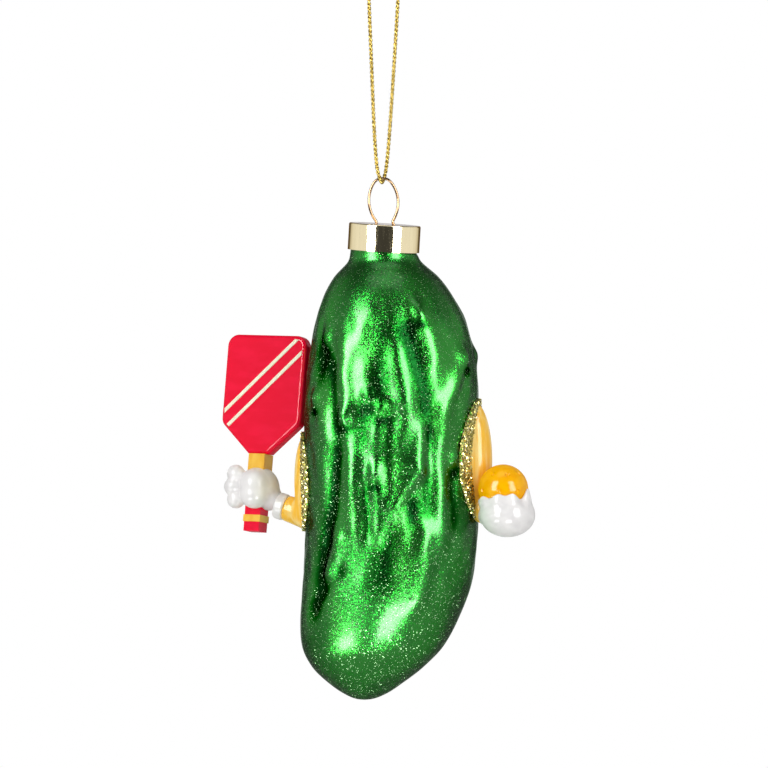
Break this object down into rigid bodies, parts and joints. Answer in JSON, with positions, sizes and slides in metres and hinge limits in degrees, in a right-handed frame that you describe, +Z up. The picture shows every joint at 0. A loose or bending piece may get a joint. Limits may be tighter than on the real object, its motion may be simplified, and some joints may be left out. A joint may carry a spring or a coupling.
{
  "type": "pickle ornament",
  "caption": "Hollow green glass pickle ornament on a gold thread, with wire eye, metal cap and resin arms that hold a paddle and a ball.",
  "frame": {"origin": "the point under the top of the thread loop where a hook carries it", "axes": "+Z up along the hanging thread, -Y towards the viewer of the picture, +X to the viewer's right"},
  "size_m": [0.0698, 0.0388, 0.1626],
  "materials": {
    "gold_thread": "twisted metallic thread",
    "gold_wire": "polished gold plate",
    "gold_cap": "polished pale gold plate",
    "green_glass": "silvered inside, green lacquer with fine glitter outside, opaque",
    "yellow_resin": "satin paint",
    "gold_glitter": "coarse gold and green glitter in glue",
    "white_resin": "satin paint",
    "red_resin": "gloss paint",
    "cream_paint": "gloss paint",
    "orange_resin": "gloss paint"
  },
  "bodies": {
    "cord": {"hanging_cord": "gold_thread", "cord_knot": "gold_thread"},
    "hanger": {"hanger_wire": "gold_wire"},
    "cap": {"cap": "gold_cap"},
    "pickle": {"pickle_glass": "green_glass", "paddle_arm": "yellow_resin", "paddle_arm_trim": "gold_glitter", "paddle_cuff": "white_resin", "paddle_glove": "white_resin", "paddle_blade": "red_resin", "paddle_stripes": "cream_paint", "paddle_handle": "yellow_resin", "paddle_grip": "red_resin", "paddle_grip_band": "yellow_resin", "ball_arm": "yellow_resin", "ball_arm_trim": "gold_glitter", "ball_cuff": "white_resin", "ball_glove": "white_resin", "ball": "orange_resin"}
  },
  "joints": [
    {"name": "eye_swing", "type": "hinge", "parent": "cord", "child": "hanger", "pos_m": [0, 0, -0.0467], "axis": [1, 0, 0], "range_deg": [-75, 75]},
    {"name": "hanger_pull", "type": "slide", "parent": "hanger", "child": "cap", "axis": [0.0576, 0, 0.9983], "range_m": [-0.016, 0]},
    {"name": "cap_swivel", "type": "hinge", "parent": "cap", "child": "pickle", "pos_m": [0.00065, 0, -0.05678], "axis": [0.0576, 0, 0.9983], "continuous": true}
  ]
}
